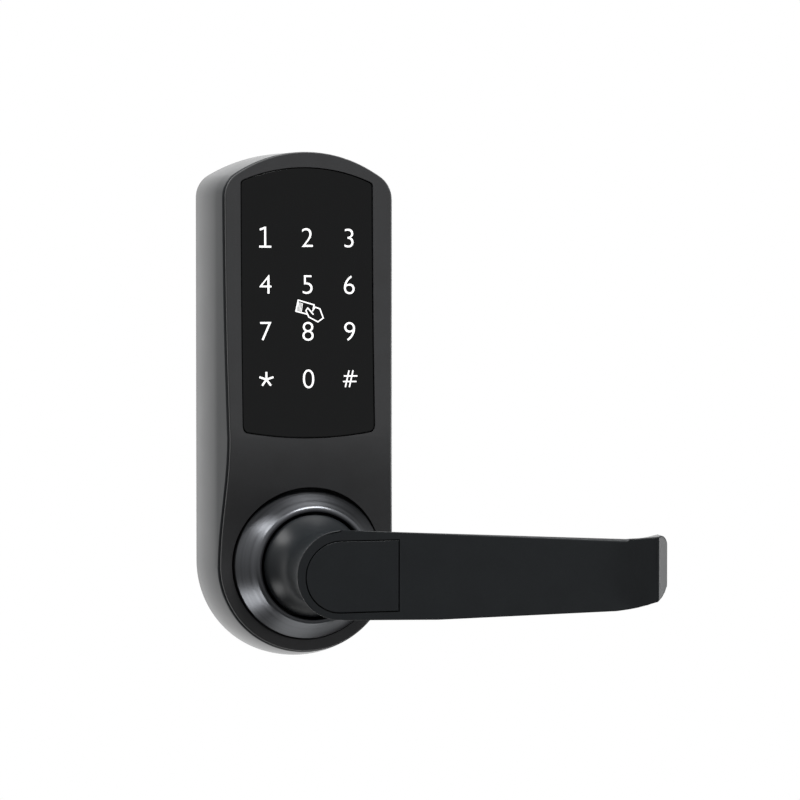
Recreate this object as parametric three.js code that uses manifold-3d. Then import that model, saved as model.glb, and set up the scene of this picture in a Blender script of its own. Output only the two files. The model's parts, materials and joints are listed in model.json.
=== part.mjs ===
// Exterior unit of an electronic lever lock, in millimetres.
// Frame: the origin is on the spindle axis, on the face that lies against the door.
// +Y points into the door, the front faces -Y, +Z is up, and the lever points along +X.
// "Depth" is the distance in front of the door, so depth = -Y.
import * as THREE from 'three';
import { mergeVertices } from 'three/addons/utils/BufferGeometryUtils.js';
import Module from 'manifold-3d';

// ---------------------------------------------------------------- driving dimensions
const HALF_WIDTH = 36; // of the escutcheon at the door, also the radius of its round bottom
const TOP_Z = 150; // highest point of the arched top at the door
const TOP_ARC_R = 61;
const CORNER_R = 9.5;
const SIDE_DRAFT = 0.038; // the side walls lean in by SIDE_DRAFT * depth + SIDE_SWELL * depth^2
const SIDE_SWELL = 0.0049;
const TOP_DRAFT = 0.055;

const FACE_TOP = 28.6; // depth of the front face at the top,
const FACE_BELLY = 31.9; // at its fullest point just under the keypad,
const FACE_LOWER = 25.2; // and around the lever
const BELLY_Z = 46;
const LOWER_Z = -2;
const SWELL_POWER = 2.2;

const WALL = 2.6; // housing wall
const SKIN = 2.6; // front cover plate
const RIM_DROP = 1.7; // from the face to the housing's front rim
const FLANGE = 0.9; // visible edge of the cover
const FIT = 0.3; // gap between pieces that touch
const HOUSING_BACK = 1.0;
const DECK = [19, 21.5]; // the housing's inner wall
const PLATE = [1.2, 2.7]; // the steel back plate
const GASKET = 0.9;

const GLASS = {
  x: -0.7, half: 24.2, top: 142.6, corner: 137.3, bottom: 45.7, lowCorner: 48.2, sink: 0.25, thick: 2,
};
const GLASS_SEAL = [2.35, 2.85]; // the layers under the glass, measured down from the front face
const TOUCH_LAYER = [2.4, 2.9];
const LIGHT_GUIDE = [3.1, 4.6];
const LEDGE_DROP = 3.0; // the shelf that carries the glass
const LEDGE_THICK = 1.4;
const WINDOW_HALF = 20.8;

const COLLAR = { base: 27.8, shoulder: 25.4, lip: 21.2, top: 36.6, bore: 19.3, gap: 0.8 };
const SLEEVE = { r: 10, bore: 7, front: 46, web: 15.5, ring: 18, ringBore: 11, back: 7.5 };
const NECK = { base: 29, baseR: 18.3, waistR: 12.6, waist: 50 };
const HUB_R = 15.5;
const LEVER_FRONT = 74;
const LEVER = { thick: 9.5, bend: 104.8, curlR: 11, tipThick: 5.2, curl: 61, edgeLean: 0.016 };
const INSERT = { r: 12.55, right: 20.9, thick: 2.2, z: -0.6, gap: 0.35 };
const BARREL = { r: 8.3, bore: 5.9, back: 47, front: 70 };
const DRIVER = { r: 10.6, notch: 4.6, notchR: 7.6, back: 4.5, front: 14, notches: 8 };
const SPINDLE = { side: 8, front: 8.7, reach: 38 };
const PIN = { side: 4, low: 11.3, high: 22, depth: 11 };
const MOTOR = { r: 6, low: 44, high: 62, depth: 11 };
const POSTS = { r: 4.5, bore: 2.1, reach: 14, z: [128, -26.5] };
const PLATE_SCREWS = [[27.5, 108], [-27.5, 108], [24, -14], [-24, -14]];
const COVER_SCREWS = [[26, 126], [-26, 126], [25.2, 50], [-25.2, 50]];
const BOARD = { half: 22, low: 64, high: 112, back: 8, front: 9.6 };
const BOARD_SCREWS = [[-18, 68], [18, 108]];
const GROMMET = { x: -16, z: 17, bore: 3.6, neck: 4.5, lip: 6 };
const TAMPER = { x: -14, z: 103, r: 1.2, bore: 1.5 };
const SET_SCREW = { r: 1.4, hole: 1.7, depth: 41, near: 10.4, far: 13.6 };
const BOSSES = { plate: 3.2, board: 2.4, cover: 2.2 }; // radius of the pillar round each screw,
const PILOTS = { plate: 1.5, board: 1.2, cover: 1.3 }; // and of the hole it is driven into
const HUB_OPENING = 14.2;
const WIRE_SLOT = { half: 9, low: 41, high: 46 }; // in the deck, for the leads to the keypad

const wasm = await Module();
wasm.setup();

// ---------------------------------------------------------------- solids
function solid(geometry) {
  geometry.deleteAttribute('normal');
  geometry.deleteAttribute('uv');
  const merged = mergeVertices(geometry, 1e-4);
  const p = merged.attributes.position.array;
  const index = merged.index.array;
  const kept = [];
  let volume = 0;
  for (let i = 0; i < index.length; i += 3) {
    const [a, b, c] = [index[i], index[i + 1], index[i + 2]];
    if (a === b || b === c || c === a) continue;
    kept.push(a, b, c);
    const va = new THREE.Vector3().fromArray(p, 3 * a);
    const vb = new THREE.Vector3().fromArray(p, 3 * b);
    volume += va.dot(vb.cross(new THREE.Vector3().fromArray(p, 3 * c)));
  }
  if (volume < 0) kept.reverse();
  return new wasm.Manifold(
    new wasm.Mesh({ numProp: 3, vertProperties: Float32Array.from(p), triVerts: Uint32Array.from(kept) }),
  );
}

function union(first, ...others) {
  return others.reduce((whole, piece) => whole.add(piece), first);
}

function cut(first, ...others) {
  return others.reduce((whole, piece) => whole.subtract(piece), first);
}

// A shape drawn in X and Z, made solid between two depths.
function plate(shape, from, to, steps = 1) {
  const geometry = new THREE.ExtrudeGeometry(shape, { depth: to - from, steps, bevelEnabled: false });
  geometry.translate(0, 0, from);
  geometry.rotateX(Math.PI / 2);
  return geometry;
}

// A closed profile of [radius, depth] points turned about the Y axis. "axial" ones start and end on the axis.
function turned(profile, { x = 0, z = 0, segments = 24, axial = false } = {}) {
  const points = profile.map(([r, depth]) => new THREE.Vector2(r, -depth));
  if (!axial) points.push(points[0].clone());
  const geometry = new THREE.LatheGeometry(points, segments);
  geometry.translate(x, 0, z);
  return solid(geometry);
}

function ring(inner, outer, from, to, options) {
  return turned([[inner, from], [outer, from], [outer, to], [inner, to]], options);
}

function rod(r, from, to, options) {
  return turned([[0, from], [r, from], [r, to], [0, to]], { ...options, axial: true });
}

function block([x0, x1], [depth0, depth1], [z0, z1]) {
  const geometry = new THREE.BoxGeometry(x1 - x0, depth1 - depth0, z1 - z0);
  geometry.translate((x0 + x1) / 2, -(depth0 + depth1) / 2, (z0 + z1) / 2);
  return solid(geometry);
}

// A round bar standing along Z.
function pillar(r, depth, low, high, segments = 24) {
  const geometry = new THREE.CylinderGeometry(r, r, high - low, segments);
  geometry.rotateX(Math.PI / 2);
  geometry.translate(0, -depth, (low + high) / 2);
  return solid(geometry);
}

function arc(cx, cz, r, startDegrees, endDegrees, count) {
  return Array.from({ length: count + 1 }, (_, i) => {
    const a = THREE.MathUtils.degToRad(startDegrees + ((endDegrees - startDegrees) * i) / count);
    return new THREE.Vector2(cx + r * Math.cos(a), cz + r * Math.sin(a));
  });
}

// Part of a ring about the Y axis, between two angles measured from +X towards +Z.
function sector(inner, outer, start, end, from, to, count = 8) {
  const outline = [...arc(0, 0, outer, start, end, count), ...arc(0, 0, inner, end, start, count)];
  return solid(plate(new THREE.Shape(outline), from, to));
}

// ---------------------------------------------------------------- escutcheon form
function outline(inset) {
  const half = HALF_WIDTH - inset;
  const arcR = TOP_ARC_R - inset;
  const centreZ = TOP_Z - TOP_ARC_R;
  const cornerR = CORNER_R - inset;
  const cornerX = half - cornerR;
  const cornerZ = centreZ + Math.sqrt((arcR - cornerR) ** 2 - cornerX ** 2);
  const lean = THREE.MathUtils.radToDeg(Math.atan2(cornerZ - centreZ, cornerX));
  return new THREE.Shape([
    ...arc(0, 0, half, 180, 360, 28),
    ...arc(cornerX, cornerZ, cornerR, 0, lean, 5),
    ...arc(0, centreZ, arcR, lean, 180 - lean, 12).slice(1, -1),
    ...arc(-cornerX, cornerZ, cornerR, 180 - lean, 180, 5),
  ]);
}

// The outline, drafted inwards towards the front.
function drafted(inset, from, to, steps = 4) {
  const geometry = plate(outline(inset), from, to, steps);
  const position = geometry.attributes.position;
  for (let i = 0; i < position.count; i += 1) {
    const depth = -position.getY(i);
    const side = 1 - (SIDE_DRAFT * depth + SIDE_SWELL * depth ** 2) / (HALF_WIDTH - inset);
    const top = 1 - (TOP_DRAFT * depth) / (TOP_Z - inset);
    position.setX(i, position.getX(i) * side);
    position.setZ(i, position.getZ(i) * (position.getZ(i) < 0 ? side : top));
  }
  return solid(geometry);
}

function faceDepth(z) {
  if (z <= LOWER_Z) return FACE_LOWER;
  if (z >= BELLY_Z) {
    const fall = Math.max(0, (TOP_Z - z) / (TOP_Z - BELLY_Z));
    return FACE_TOP + (FACE_BELLY - FACE_TOP) * fall ** SWELL_POWER;
  }
  const t = (z - LOWER_Z) / (BELLY_Z - LOWER_Z);
  return FACE_LOWER + ((FACE_BELLY - FACE_LOWER) * (1 - Math.cos(Math.PI * t))) / 2;
}

// Everything behind the front face moved by an offset, as wide as the lock.
function behindFace(offset) {
  const rise = Array.from({ length: 10 }, (_, i) => LOWER_Z + ((BELLY_Z - LOWER_Z) * i) / 9);
  const swell = Array.from({ length: 6 }, (_, i) => BELLY_Z + ((TOP_Z - BELLY_Z) * (i + 1)) / 6);
  const heights = [-HALF_WIDTH - 4, ...rise, ...swell, TOP_Z + 4];
  const profile = heights.map((z) => new THREE.Vector2(faceDepth(z) + offset, z));
  profile.unshift(new THREE.Vector2(-5, heights[0]));
  profile.push(new THREE.Vector2(-5, heights.at(-1)));
  const width = 2 * HALF_WIDTH + 8;
  const geometry = new THREE.ExtrudeGeometry(new THREE.Shape(profile), { depth: width, bevelEnabled: false });
  geometry.translate(0, 0, -width / 2);
  geometry.applyMatrix4(
    new THREE.Matrix4().makeBasis(
      new THREE.Vector3(0, -1, 0),
      new THREE.Vector3(0, 0, 1),
      new THREE.Vector3(-1, 0, 0),
    ),
  );
  return solid(geometry);
}

// What lies between two offsets of the front face.
function layer(body, deep, shallow) {
  return body.intersect(behindFace(shallow)).subtract(behindFace(deep));
}

// ---------------------------------------------------------------- housing, cover and their seals
function rearHousing() {
  const shell = drafted(0, HOUSING_BACK, 34).intersect(behindFace(-RIM_DROP));
  const rearRoom = drafted(WALL, HOUSING_BACK - 1, DECK[0], 2);
  const frontRoom = drafted(WALL, DECK[1], 36, 2);
  const pillars = (spots, r, from) => spots.map(([x, z]) => rod(r, from, DECK[0] + 1, { x, z, segments: 16 }));
  const bosses = pillars(PLATE_SCREWS, BOSSES.plate, PLATE[1] + FIT);
  const standoffs = pillars(BOARD_SCREWS, BOSSES.board, BOARD.front + FIT);
  const holes = [
    ...PLATE_SCREWS.map(([x, z]) => rod(PILOTS.plate, PLATE[1], 12, { x, z, segments: 12 })),
    ...BOARD_SCREWS.map(([x, z]) => rod(PILOTS.board, BOARD.front, 16, { x, z, segments: 12 })),
    ...COVER_SCREWS.map(([x, z]) => rod(1.5, DECK[0] - 1, DECK[1] + 1, { x, z, segments: 12 })),
    rod(HUB_OPENING, DECK[0] - 1, DECK[1] + 1),
    block([-WIRE_SLOT.half, WIRE_SLOT.half], [DECK[0] - 1, DECK[1] + 1], [WIRE_SLOT.low, WIRE_SLOT.high]),
  ];
  return cut(union(cut(shell, rearRoom, frontRoom), ...bosses, ...standoffs), ...holes);
}

function glassShape(grow, halfWidth = GLASS.half) {
  const half = halfWidth + grow;
  const shrink = GLASS.half - halfWidth;
  const top = GLASS.top - shrink + grow;
  const corner = GLASS.corner - shrink + grow;
  const bottom = GLASS.bottom + shrink - grow;
  const lowCorner = GLASS.lowCorner + shrink - grow;
  const shape = new THREE.Shape();
  shape.moveTo(half, lowCorner + 1);
  shape.lineTo(half, corner);
  shape.quadraticCurveTo(0, 2 * top - corner, -half, corner);
  shape.lineTo(-half, lowCorner + 1);
  shape.quadraticCurveTo(-half, lowCorner - 1, -half + 3, lowCorner - 1.2);
  shape.quadraticCurveTo(0, 2 * bottom - lowCorner + 1.2, half - 3, lowCorner - 1.2);
  shape.quadraticCurveTo(half, lowCorner - 1, half, lowCorner + 1);
  return new THREE.Shape(shape.getPoints(6));
}

function glassBlank(grow, halfWidth) {
  const geometry = plate(glassShape(grow, halfWidth), 15, 40);
  geometry.translate(GLASS.x, 0, 0);
  return solid(geometry);
}

function frontCover() {
  const flange = layer(drafted(0.1, 22, 34, 2), -FLANGE, 0);
  const inside = drafted(WALL + FIT, 20, 34, 2);
  const skin = layer(inside, -SKIN, 0);
  const ledge = layer(inside.intersect(glassBlank(2.2)), -LEDGE_DROP - LEDGE_THICK, -FLANGE);
  const bosses = COVER_SCREWS.map(([x, z]) =>
    rod(BOSSES.cover, DECK[1] + FIT, faceDepth(z) - 1.5, { x, z, segments: 16 }),
  );
  return cut(
    union(flange, skin, ledge, ...bosses),
    layer(glassBlank(FIT), -LEDGE_DROP, 2),
    glassBlank(0, WINDOW_HALF),
    rod(COLLAR.base + COLLAR.gap, 15, 40, { segments: 40 }),
    ...COVER_SCREWS.map(([x, z]) => rod(PILOTS.cover, DECK[1], 26.6, { x, z, segments: 12 })),
  );
}

function coverSeal() {
  return layer(cut(drafted(0.8, 22, 34, 2), drafted(WALL - 0.1, 21, 35, 2)), -1.6, -1);
}

function backPlate() {
  const sheet = drafted(WALL + 0.6, ...PLATE, 1);
  return cut(
    sheet,
    rod(7, 0, 5),
    rod(GROMMET.neck + FIT, 0, 5, { ...GROMMET, segments: 24 }),
    rod(TAMPER.r + FIT, 0, 5, { ...TAMPER, segments: 12 }),
    ...PLATE_SCREWS.map(([x, z]) => rod(1.8, 0, 5, { x, z, segments: 12 })),
    ...POSTS.z.map((z) => rod(POSTS.r + FIT, 0, 5, { z, segments: 24 })),
  );
}

function doorGasket() {
  return cut(drafted(0.2, 0, GASKET, 1), drafted(4.4, -1, GASKET + 1, 1));
}

// ---------------------------------------------------------------- fasteners
function panScrew([x, z], head, from, to, headHeight = 1.3) {
  const seat = from + headHeight;
  const profile = [
    [0, from], [head * 0.8, from], [head, from + 0.4], [head, seat],
    [1, seat], [1, to - 0.8], [0.5, to], [0, to],
  ];
  const recess = block([x - 0.3, x + 0.3], [from - 1, from + 0.6], [z - head * 0.6, z + head * 0.6]);
  return cut(turned(profile, { x, z, segments: 10, axial: true }), recess);
}

function mountingPost(z) {
  return ring(POSTS.bore, POSTS.r, -POSTS.reach, DECK[0] - FIT, { z, segments: 16 });
}

// ---------------------------------------------------------------- keypad module
function rfidAntenna() {
  const from = 22.2;
  const to = 22.7;
  return cut(block([-18, 18], [from, to], [56, 130]), block([-15, 15], [from - 1, to + 1], [59, 127]));
}

// ---------------------------------------------------------------- lever and what turns with it
function leverHandle() {
  const shoulder = 36;
  const flare = Array.from({ length: 13 }, (_, i) => {
    const depth = shoulder + ((LEVER_FRONT - shoulder) * i) / 12;
    const [end, wide] = depth < NECK.waist ? [shoulder, NECK.baseR] : [LEVER_FRONT, HUB_R];
    return [NECK.waistR + (wide - NECK.waistR) * ((depth - NECK.waist) / (end - NECK.waist)) ** 2, depth];
  });
  const neck = turned([[0, NECK.base], [NECK.baseR, NECK.base], ...flare, [0, LEVER_FRONT]], { axial: true });
  return cut(
    union(neck, leverBar()),
    rod(SLEEVE.r + FIT, NECK.base - 1, SLEEVE.front + FIT),
    rod(BARREL.r + FIT, SLEEVE.front, LEVER_FRONT - INSERT.thick),
    solid(plate(insertShape(0), LEVER_FRONT - INSERT.thick - FIT, LEVER_FRONT + 1)),
    sideRod(SET_SCREW.hole, SET_SCREW.depth, SLEEVE.r - 1, 20),
  );
}

// The flat grip: its plan view, with the tip curling away from the door, crossed with its elevation.
// Its upper and lower edges lean in towards the door.
function leverBar() {
  const { thick, bend, curlR, tipThick, curl, edgeLean } = LEVER;
  const centre = LEVER_FRONT + curlR;
  const plan = new THREE.Shape([
    new THREE.Vector2(0, LEVER_FRONT - thick),
    ...arc(bend, centre, curlR + tipThick, -90, -90 + curl, 8),
    ...arc(bend, centre, curlR, -90 + curl, -90, 8),
    new THREE.Vector2(0, LEVER_FRONT),
  ]);
  const slab = new THREE.ExtrudeGeometry(plan, { depth: 40, bevelEnabled: false });
  slab.translate(0, 0, -20);
  slab.scale(1, -1, 1);
  const elevation = new THREE.Shape();
  elevation.moveTo(0, -HUB_R - 0.2);
  elevation.lineTo(35, -16.6);
  elevation.lineTo(101, -15.6);
  elevation.quadraticCurveTo(116.6, -14.6, 119, -6.5);
  elevation.quadraticCurveTo(120.3, 1.5, 119.3, 8);
  elevation.quadraticCurveTo(118.2, 12.3, 115, 11.4);
  elevation.quadraticCurveTo(111.6, 10.5, 107, 10.4);
  elevation.lineTo(0, HUB_R + 0.2);
  const side = plate(new THREE.Shape(elevation.getPoints(5)), LEVER_FRONT - 14, LEVER_FRONT + 16, 3);
  const position = side.attributes.position;
  for (let i = 0; i < position.count; i += 1) {
    const behind = Math.max(0, LEVER_FRONT + position.getY(i));
    position.setZ(i, position.getZ(i) * (1 - edgeLean * behind));
  }
  return solid(slab).intersect(solid(side));
}

function insertShape(shrink) {
  const r = INSERT.r - shrink;
  return new THREE.Shape([
    ...arc(0, INSERT.z, r, 90, 270, 20),
    new THREE.Vector2(INSERT.right - shrink, INSERT.z - r),
    new THREE.Vector2(INSERT.right - shrink, INSERT.z + r),
  ]);
}

// A round bar lying along X on the far side from the grip, between two distances from the axis.
function sideRod(r, depth, near, far) {
  const geometry = new THREE.CylinderGeometry(r, r, far - near, 12);
  geometry.rotateZ(Math.PI / 2);
  geometry.translate(-(near + far) / 2, -depth, 0);
  return solid(geometry);
}

function driveSleeve() {
  const { r, bore, front, web, ring: ringR, ringBore, back } = SLEEVE;
  const body = turned([
    [ringBore, back], [ringR, back], [ringR, web], [r, web], [r, front], [bore, front], [bore, web - 1],
    [ringBore, web - 1],
  ]);
  const tab = sector(ringR - 0.5, ringR + 2.4, -98, -82, back + 0.5, web - 2.5, 3);
  const slot = block([-PIN.side / 2 - FIT, PIN.side / 2 + FIT], [PIN.depth - 2.3, PIN.depth + 2.3], [9, 20]);
  return cut(union(body, tab), slot);
}

function retainingRing() {
  const from = 16.4;
  return cut(ring(SLEEVE.r + FIT, 13.2, from, from + 1), block([-3, 3], [from - 1, from + 2], [-15, -8]));
}

function keyPlug() {
  const keyway = block([-1, 1], [52, 75], [-3.6, 3.6]);
  return cut(rod(BARREL.bore - FIT, BARREL.back, BARREL.front, { segments: 24 }), keyway);
}

// ---------------------------------------------------------------- clutch and spindle
function spindleDriver() {
  const { r, notch, notchR, back, front, notches } = DRIVER;
  const body = rod(r, back, front);
  const opening = SPINDLE.side / 2 + 0.2;
  const squareHole = block([-opening, opening], [back - 1, 9], [-opening, opening]);
  const slots = Array.from({ length: notches }, (_, i) => {
    const geometry = new THREE.BoxGeometry(notch, front - back + 2, 6);
    geometry.translate(0, -(front + back) / 2, notchR + 3);
    geometry.rotateY((i * 2 * Math.PI) / notches);
    return solid(geometry);
  });
  return cut(body, squareHole, rod(4.6, 8, front + 1, { segments: 24 }), ...slots);
}

function stopPlate() {
  const from = 17.5;
  const plateRing = sector(15, 21, -170, -10, from, from + 1.1, 16);
  const nearStop = sector(18.6, 20.6, -81, -69, 8.5, from + 0.5, 3);
  const farStop = sector(18.6, 20.6, -156, -144, 8.5, from + 0.5, 3);
  return union(plateRing, nearStop, farStop);
}

function clutchShoe() {
  const shoe = sector(22.3, 25.3, 37, 98, PIN.depth - 1.5, PIN.depth + 1.5, 10);
  const arm = block([-3, 3], [PIN.depth - 3, PIN.depth + 3], [24.6, 31]);
  const nut = block([-5, 5], [PIN.depth - 5, PIN.depth + 5], [30.5, 37.5]);
  return cut(union(shoe, arm, nut), pillar(3.2, MOTOR.depth, 29, 38));
}

function motorWorm() {
  const turns = Array.from({ length: 4 }, (_, i) => pillar(2.8, MOTOR.depth, 30.2 + 3 * i, 31.4 + 3 * i, 12));
  return union(pillar(1.6, MOTOR.depth, 29.5, 43.6, 12), ...turns);
}

function motorBracket() {
  const frame = block([-8.5, 8.5], [4, DECK[0] - FIT], [49, 57]);
  return cut(frame, pillar(MOTOR.r + FIT, MOTOR.depth, 48, 58));
}

function returnSpring() {
  const [turnsCount, wire, radius, from, to] = [2, 0.7, 13.2, 24.4, 27.4];
  const steps = 18 * turnsCount;
  const path = new THREE.CatmullRomCurve3(
    Array.from({ length: steps + 1 }, (_, i) => {
      const a = (2 * Math.PI * turnsCount * i) / steps;
      const depth = from + ((to - from) * i) / steps;
      return new THREE.Vector3(radius * Math.cos(a), -depth, radius * Math.sin(a));
    }),
  );
  const section = new THREE.Shape(arc(0, 0, wire, 0, 300, 5));
  return solid(new THREE.ExtrudeGeometry(section, { extrudePath: path, steps, bevelEnabled: false }));
}

function cableGrommet() {
  const { bore, neck, lip } = GROMMET;
  return turned(
    [
      [bore, 0.1], [lip, 0.1], [lip, PLATE[0] - 0.2], [neck, PLATE[0] - 0.2], [neck, PLATE[1] + 0.2],
      [lip, PLATE[1] + 0.2], [lip, PLATE[1] + 1.1], [bore, PLATE[1] + 1.1],
    ],
    { ...GROMMET, segments: 24 },
  );
}

// ---------------------------------------------------------------- finishes
function finish(color, roughness, metalness) {
  return new THREE.MeshStandardMaterial({ color, roughness, metalness });
}

const blackZinc = finish(0x26282a, 0.38, 0.4);
const coverPaint = finish(0x2b2c2e, 0.45, 0.1);
const darkChrome = finish(0x4c4e52, 0.22, 0.9);
const glassBlack = finish(0x0d0e10, 0.12, 0);
const rubber = finish(0x111112, 0.85, 0);
const steel = finish(0xb8babd, 0.35, 0.9);
const zincPlate = finish(0x9fa3a6, 0.4, 0.8);
const brass = finish(0xb59a55, 0.35, 0.9);
const boardGreen = finish(0x1f5a3a, 0.6, 0);
const diffuser = finish(0xe8ecee, 0.5, 0);
const copper = finish(0xb0683c, 0.4, 0.9);
const nylon = finish(0xd8d4c8, 0.6, 0);
const blackPlastic = finish(0x1a1b1c, 0.5, 0);

// ---------------------------------------------------------------- assembly
const lock = new THREE.Group();
const leverGroup = new THREE.Group();
const clutchGroup = new THREE.Group();
lock.add(leverGroup, clutchGroup);

function place(name, body, material, group = lock) {
  const { vertProperties, triVerts } = body.getMesh();
  const geometry = new THREE.BufferGeometry();
  geometry.setAttribute('position', new THREE.BufferAttribute(vertProperties, 3));
  geometry.setIndex(new THREE.BufferAttribute(triVerts, 1));
  geometry.computeVertexNormals();
  const mesh = new THREE.Mesh(geometry, material);
  mesh.name = name;
  group.add(mesh);
}

place('door_gasket', doorGasket(), rubber);
place('back_plate', backPlate(), zincPlate);
place('rear_housing', rearHousing(), blackZinc);
place('cover_seal', coverSeal(), rubber);
place('front_cover', frontCover(), coverPaint);
place('cable_grommet', cableGrommet(), rubber);
PLATE_SCREWS.forEach((spot, i) => place(`plate_screw_${i + 1}`, panScrew(spot, 2.6, 0, 9, 0.9), steel));
COVER_SCREWS.forEach((spot, i) => place(`cover_screw_${i + 1}`, panScrew(spot, 2.2, 17.3, 26.2), steel));
BOARD_SCREWS.forEach((spot, i) => place(`board_screw_${i + 1}`, panScrew(spot, 2, 6.4, 14), steel));
POSTS.z.forEach((z, i) => place(`mounting_post_${i + 1}`, mountingPost(z), steel));

place('keypad_glass', layer(glassBlank(0), -GLASS.sink - GLASS.thick, -GLASS.sink), glassBlack);
const sealRing = cut(glassBlank(-0.3), glassBlank(0.5, WINDOW_HALF));
place('glass_seal', layer(sealRing, -GLASS_SEAL[1], -GLASS_SEAL[0]), rubber);
place('touch_sensor', layer(glassBlank(-0.4, WINDOW_HALF), -TOUCH_LAYER[1], -TOUCH_LAYER[0]), nylon);
place('light_guide', layer(glassBlank(-0.4, WINDOW_HALF), -LIGHT_GUIDE[1], -LIGHT_GUIDE[0]), diffuser);
place('keypad_board', block([-20, 20], [22.9, 24], [50, 136]), boardGreen);
place('rfid_antenna', rfidAntenna(), copper);

place(
  'main_board',
  cut(
    block([-BOARD.half, BOARD.half], [BOARD.back, BOARD.front], [BOARD.low, BOARD.high]),
    ...BOARD_SCREWS.map(([x, z]) => rod(1.4, 7, 11, { x, z, segments: 12 })),
  ),
  boardGreen,
);
place('processor_chip', block([-6, 4], [BOARD.front + FIT, 11.4], [80, 90]), blackPlastic);
place('buzzer', ring(1, 6, BOARD.front + FIT, 15, { x: 10, z: 96, segments: 24 }), blackPlastic);
place(
  'cable_connector',
  cut(block([-7, 7], [3.6, BOARD.back - FIT], [69, 75]), block([-6, 6], [5, 6.8], [67, 73])),
  nylon,
);
place(
  'tamper_switch',
  cut(
    block([TAMPER.x - 3, TAMPER.x + 3], [4.4, BOARD.back - FIT], [TAMPER.z - 3.5, TAMPER.z + 3.5]),
    rod(TAMPER.bore, 3, 7.2, { ...TAMPER, segments: 12 }),
  ),
  blackPlastic,
);
place('tamper_plunger', rod(TAMPER.r, -1.4, 4.8, { ...TAMPER, segments: 12 }), nylon);

const bushing = [[10.35, 17.8], [13.8, 17.8], [13.8, 21.8], [16.8, 21.8], [16.8, 23.2], [10.35, 23.2]];
place('hub_bushing', turned(bushing), brass);
const { base, shoulder, lip, top, bore } = COLLAR;
const collarBack = 21.8;
const collarProfile = [
  [bore, collarBack], [base, collarBack], [base, shoulder], [lip, top - 0.4], [lip - 0.6, top], [bore, top],
];
place('rosette_collar', turned(collarProfile, { segments: 40 }), darkChrome);
place('return_spring', returnSpring(), steel);
place('stop_plate', stopPlate(), zincPlate, clutchGroup);

place('clutch_motor', pillar(MOTOR.r, MOTOR.depth, MOTOR.low, MOTOR.high), steel, clutchGroup);
place('motor_bracket', motorBracket(), zincPlate, clutchGroup);
place('motor_worm', motorWorm(), brass, clutchGroup);
place('clutch_shoe', clutchShoe(), nylon, clutchGroup);
const pinHalf = PIN.side / 2;
place(
  'clutch_pin',
  block([-pinHalf, pinHalf], [PIN.depth - pinHalf, PIN.depth + pinHalf], [PIN.low, PIN.high]),
  steel,
  clutchGroup,
);
place('spindle_driver', spindleDriver(), zincPlate, clutchGroup);
const spindleHalf = SPINDLE.side / 2;
place(
  'spindle',
  block([-spindleHalf, spindleHalf], [-SPINDLE.reach, SPINDLE.front], [-spindleHalf, spindleHalf]),
  steel,
  clutchGroup,
);

place('lever_handle', leverHandle(), blackZinc, leverGroup);
place('drive_sleeve', driveSleeve(), steel, leverGroup);
const { r: screwR, depth: screwDepth, near, far } = SET_SCREW;
place('lever_set_screw', sideRod(screwR, screwDepth, near, far), steel, leverGroup);
place('retaining_ring', retainingRing(), steel, leverGroup);
place('key_cylinder', ring(BARREL.bore, BARREL.r, BARREL.back, BARREL.front), brass, leverGroup);
place('key_plug', keyPlug(), brass, leverGroup);
place('tailpiece', block([-1, 1], [9.6, BARREL.back - FIT], [-3.5, 3.5]), steel, leverGroup);
place(
  'lever_cover',
  solid(plate(insertShape(INSERT.gap), LEVER_FRONT - INSERT.thick, LEVER_FRONT)),
  blackZinc,
  leverGroup,
);

export default lock;
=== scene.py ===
"""Exterior unit of an electronic keypad lever lock: its looks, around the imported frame.

Pieces are shaped in millimetres and brought to metres when they are finished.
The front faces -Y, so a place's "depth", its distance in front of the door, is -Y.
"""

import json
import math

import bmesh
import bpy
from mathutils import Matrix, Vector


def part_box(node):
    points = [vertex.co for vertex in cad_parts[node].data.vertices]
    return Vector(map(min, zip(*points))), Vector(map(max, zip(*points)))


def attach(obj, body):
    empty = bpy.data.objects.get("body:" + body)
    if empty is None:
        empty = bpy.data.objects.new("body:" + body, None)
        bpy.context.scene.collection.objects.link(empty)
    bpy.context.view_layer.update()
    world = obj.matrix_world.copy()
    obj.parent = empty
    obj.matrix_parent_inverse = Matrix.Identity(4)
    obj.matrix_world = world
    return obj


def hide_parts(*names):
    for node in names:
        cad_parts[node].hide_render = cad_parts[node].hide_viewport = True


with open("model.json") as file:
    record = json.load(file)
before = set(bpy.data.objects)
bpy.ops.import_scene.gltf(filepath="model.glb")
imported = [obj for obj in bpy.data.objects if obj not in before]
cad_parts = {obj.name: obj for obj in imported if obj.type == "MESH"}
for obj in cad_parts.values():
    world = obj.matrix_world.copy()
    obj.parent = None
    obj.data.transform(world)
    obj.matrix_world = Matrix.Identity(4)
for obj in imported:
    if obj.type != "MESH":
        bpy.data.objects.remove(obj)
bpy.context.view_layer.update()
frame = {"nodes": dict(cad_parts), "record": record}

M_PER_MM = 0.001


def node_box(node):
    """Lowest and highest corner of a CAD node, in millimetres."""
    low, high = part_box(node)
    return low / M_PER_MM, high / M_PER_MM


# ---------------------------------------------------------------- driving sizes, in millimetres
GASKET_HIGH = node_box("door_gasket")[1]
COLLAR_LOW, COLLAR_HIGH = node_box("rosette_collar")
PLATE_LOW, PLATE_HIGH = node_box("lever_cover")
GLASS_LOW, GLASS_HIGH = node_box("keypad_glass")

EDGE_INSET = 0.2  # of the gasket from the housing's outline
HALF_WIDTH = GASKET_HIGH.x + EDGE_INSET
TOP_Z = GASKET_HIGH.z + EDGE_INSET
TOP_ARC_R = 61
CORNER_R = 9.5
SIDE_DRAFT = 0.038  # how far the side walls lean in per millimetre of depth, and how that grows
SIDE_SWELL = 0.0049
TOP_DRAFT = 0.055

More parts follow.
